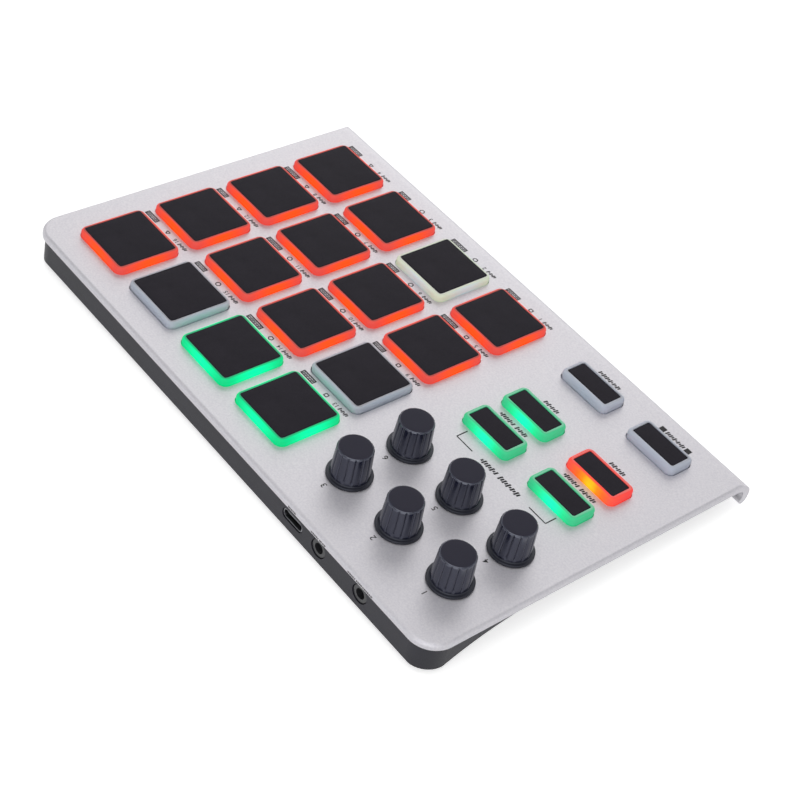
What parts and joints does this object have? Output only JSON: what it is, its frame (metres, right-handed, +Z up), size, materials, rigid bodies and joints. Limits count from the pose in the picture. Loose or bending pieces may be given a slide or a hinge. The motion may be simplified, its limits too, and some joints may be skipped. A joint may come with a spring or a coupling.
{
  "type": "midi pad controller",
  "caption": "Slim desktop pad controller: bent aluminium deck with a grid of lit square pads, lit buttons and endless knobs on a plastic case that is deeper at the rear.",
  "frame": {"origin": "on the table, under the middle of the outline", "axes": "+X to the right as the player sees it, +Y to the rear edge with the sockets, +Z up; the deck leans down towards the player by the tilt of its case"},
  "size_m": [0.205, 0.1344, 0.025],
  "materials": {
    "deck_aluminium": "bead-blasted and anodised, satin silver",
    "case_plastic": "fine-textured moulding, dark grey",
    "lit_red": "translucent silicone lit red from inside",
    "lit_green": "translucent silicone lit green from inside",
    "lit_pale": "translucent silicone lit dimly in warm white",
    "unlit_silicone": "translucent silicone, not lit",
    "dark_top": "matte soft-touch, near black",
    "knob_plastic": "satin moulding, near black",
    "board": "solder mask",
    "sensor_film": "printed film",
    "dome_steel": "bright",
    "encoder_plastic": "moulded",
    "jack_plastic": "moulded, black",
    "socket_steel": "drawn sheet",
    "screw_steel": "zinc plated",
    "foot_rubber": "matte"
  },
  "bodies": {
    "chassis": {"top_panel": "deck_aluminium", "bottom_case": "case_plastic", "circuit_board": "board", "pad_sensors": "sensor_film", "key_domes": "dome_steel", "encoder_housings": "encoder_plastic", "jack_sockets": "jack_plastic", "usb_socket": "socket_steel", "case_screws": "screw_steel", "rubber_feet": "foot_rubber"},
    "pad_01": {"pad_01": "lit_red", "pad_top_01": "dark_top"},
    "pad_02": {"pad_02": "lit_pale", "pad_top_02": "dark_top"},
    "pad_03": {"pad_03": "lit_red", "pad_top_03": "dark_top"},
    "pad_04": {"pad_04": "lit_red", "pad_top_04": "dark_top"},
    "pad_05": {"pad_05": "lit_red", "pad_top_05": "dark_top"},
    "pad_06": {"pad_06": "lit_red", "pad_top_06": "dark_top"},
    "pad_07": {"pad_07": "lit_red", "pad_top_07": "dark_top"},
    "pad_08": {"pad_08": "lit_red", "pad_top_08": "dark_top"},
    "pad_09": {"pad_09": "unlit_silicone", "pad_top_09": "dark_top"},
    "pad_10": {"pad_10": "lit_red", "pad_top_10": "dark_top"},
    "pad_11": {"pad_11": "lit_red", "pad_top_11": "dark_top"},
    "pad_12": {"pad_12": "lit_red", "pad_top_12": "dark_top"},
    "pad_13": {"pad_13": "lit_green", "pad_top_13": "dark_top"},
    "pad_14": {"pad_14": "lit_green", "pad_top_14": "dark_top"},
    "pad_15": {"pad_15": "unlit_silicone", "pad_top_15": "dark_top"},
    "pad_16": {"pad_16": "lit_red", "pad_top_16": "dark_top"},
    "button_rear_left": {"button_rear_left": "lit_green", "button_top_rear_left": "dark_top"},
    "button_rear_right": {"button_rear_right": "lit_green", "button_top_rear_right": "dark_top"},
    "button_middle_left": {"button_middle_left": "lit_red", "button_top_middle_left": "dark_top"},
    "button_middle_right": {"button_middle_right": "lit_green", "button_top_middle_right": "dark_top"},
    "button_front_left": {"button_front_left": "unlit_silicone", "button_top_front_left": "dark_top"},
    "button_front_right": {"button_front_right": "unlit_silicone", "button_top_front_right": "dark_top"},
    "knob_1": {"knob_1": "knob_plastic"},
    "knob_2": {"knob_2": "knob_plastic"},
    "knob_3": {"knob_3": "knob_plastic"},
    "knob_4": {"knob_4": "knob_plastic"},
    "knob_5": {"knob_5": "knob_plastic"},
    "knob_6": {"knob_6": "knob_plastic"}
  },
  "joints": [
    {"name": "pad_01_press", "type": "slide", "parent": "chassis", "child": "pad_01", "axis": [0, 0.0305, -0.9995], "range_m": [0, 0.0008], "stiffness_N_per_m": 150, "springref_m": -0.002},
    {"name": "pad_02_press", "type": "slide", "parent": "chassis", "child": "pad_02", "axis": [0, 0.0305, -0.9995], "range_m": [0, 0.0008], "stiffness_N_per_m": 150, "springref_m": -0.002},
    {"name": "pad_03_press", "type": "slide", "parent": "chassis", "child": "pad_03", "axis": [0, 0.0305, -0.9995], "range_m": [0, 0.0008], "stiffness_N_per_m": 150, "springref_m": -0.002},
    {"name": "pad_04_press", "type": "slide", "parent": "chassis", "child": "pad_04", "axis": [0, 0.0305, -0.9995], "range_m": [0, 0.0008], "stiffness_N_per_m": 150, "springref_m": -0.002},
    {"name": "pad_05_press", "type": "slide", "parent": "chassis", "child": "pad_05", "axis": [0, 0.0305, -0.9995], "range_m": [0, 0.0008], "stiffness_N_per_m": 150, "springref_m": -0.002},
    {"name": "pad_06_press", "type": "slide", "parent": "chassis", "child": "pad_06", "axis": [0, 0.0305, -0.9995], "range_m": [0, 0.0008], "stiffness_N_per_m": 150, "springref_m": -0.002},
    {"name": "pad_07_press", "type": "slide", "parent": "chassis", "child": "pad_07", "axis": [0, 0.0305, -0.9995], "range_m": [0, 0.0008], "stiffness_N_per_m": 150, "springref_m": -0.002},
    {"name": "pad_08_press", "type": "slide", "parent": "chassis", "child": "pad_08", "axis": [0, 0.0305, -0.9995], "range_m": [0, 0.0008], "stiffness_N_per_m": 150, "springref_m": -0.002},
    {"name": "pad_09_press", "type": "slide", "parent": "chassis", "child": "pad_09", "axis": [0, 0.0305, -0.9995], "range_m": [0, 0.0008], "stiffness_N_per_m": 150, "springref_m": -0.002},
    {"name": "pad_10_press", "type": "slide", "parent": "chassis", "child": "pad_10", "axis": [0, 0.0305, -0.9995], "range_m": [0, 0.0008], "stiffness_N_per_m": 150, "springref_m": -0.002},
    {"name": "pad_11_press", "type": "slide", "parent": "chassis", "child": "pad_11", "axis": [0, 0.0305, -0.9995], "range_m": [0, 0.0008], "stiffness_N_per_m": 150, "springref_m": -0.002},
    {"name": "pad_12_press", "type": "slide", "parent": "chassis", "child": "pad_12", "axis": [0, 0.0305, -0.9995], "range_m": [0, 0.0008], "stiffness_N_per_m": 150, "springref_m": -0.002},
    {"name": "pad_13_press", "type": "slide", "parent": "chassis", "child": "pad_13", "axis": [0, 0.0305, -0.9995], "range_m": [0, 0.0008], "stiffness_N_per_m": 150, "springref_m": -0.002},
    {"name": "pad_14_press", "type": "slide", "parent": "chassis", "child": "pad_14", "axis": [0, 0.0305, -0.9995], "range_m": [0, 0.0008], "stiffness_N_per_m": 150, "springref_m": -0.002},
    {"name": "pad_15_press", "type": "slide", "parent": "chassis", "child": "pad_15", "axis": [0, 0.0305, -0.9995], "range_m": [0, 0.0008], "stiffness_N_per_m": 150, "springref_m": -0.002},
    {"name": "pad_16_press", "type": "slide", "parent": "chassis", "child": "pad_16", "axis": [0, 0.0305, -0.9995], "range_m": [0, 0.0008], "stiffness_N_per_m": 150, "springref_m": -0.002},
    {"name": "button_rear_left_press", "type": "slide", "parent": "chassis", "child": "button_rear_left", "axis": [0, 0.0305, -0.9995], "range_m": [0, 0.0008], "stiffness_N_per_m": 150, "springref_m": -0.002},
    {"name": "button_rear_right_press", "type": "slide", "parent": "chassis", "child": "button_rear_right", "axis": [0, 0.0305, -0.9995], "range_m": [0, 0.0008], "stiffness_N_per_m": 150, "springref_m": -0.002},
    {"name": "button_middle_left_press", "type": "slide", "parent": "chassis", "child": "button_middle_left", "axis": [0, 0.0305, -0.9995], "range_m": [0, 0.0008], "stiffness_N_per_m": 150, "springref_m": -0.002},
    {"name": "button_middle_right_press", "type": "slide", "parent": "chassis", "child": "button_middle_right", "axis": [0, 0.0305, -0.9995], "range_m": [0, 0.0008], "stiffness_N_per_m": 150, "springref_m": -0.002},
    {"name": "button_front_left_press", "type": "slide", "parent": "chassis", "child": "button_front_left", "axis": [0, 0.0305, -0.9995], "range_m": [0, 0.0008], "stiffness_N_per_m": 150, "springref_m": -0.002},
    {"name": "button_front_right_press", "type": "slide", "parent": "chassis", "child": "button_front_right", "axis": [0, 0.0305, -0.9995], "range_m": [0, 0.0008], "stiffness_N_per_m": 150, "springref_m": -0.002},
    {"name": "knob_1_turn", "type": "hinge", "parent": "chassis", "child": "knob_1", "pos_m": [-0.0849, 0.04466, 0.01315], "axis": [0, -0.0305, 0.9995], "continuous": true},
    {"name": "knob_2_turn", "type": "hinge", "parent": "chassis", "child": "knob_2", "pos_m": [-0.0615, 0.04466, 0.01315], "axis": [0, -0.0305, 0.9995], "continuous": true},
    {"name": "knob_3_turn", "type": "hinge", "parent": "chassis", "child": "knob_3", "pos_m": [-0.0381, 0.04466, 0.01315], "axis": [0, -0.0305, 0.9995], "continuous": true},
    {"name": "knob_4_turn", "type": "hinge", "parent": "chassis", "child": "knob_4", "pos_m": [-0.0849, 0.02127, 0.01244], "axis": [0, -0.0305, 0.9995], "continuous": true},
    {"name": "knob_5_turn", "type": "hinge", "parent": "chassis", "child": "knob_5", "pos_m": [-0.0615, 0.02127, 0.01244], "axis": [0, -0.0305, 0.9995], "continuous": true},
    {"name": "knob_6_turn", "type": "hinge", "parent": "chassis", "child": "knob_6", "pos_m": [-0.0381, 0.02127, 0.01244], "axis": [0, -0.0305, 0.9995], "continuous": true}
  ]
}
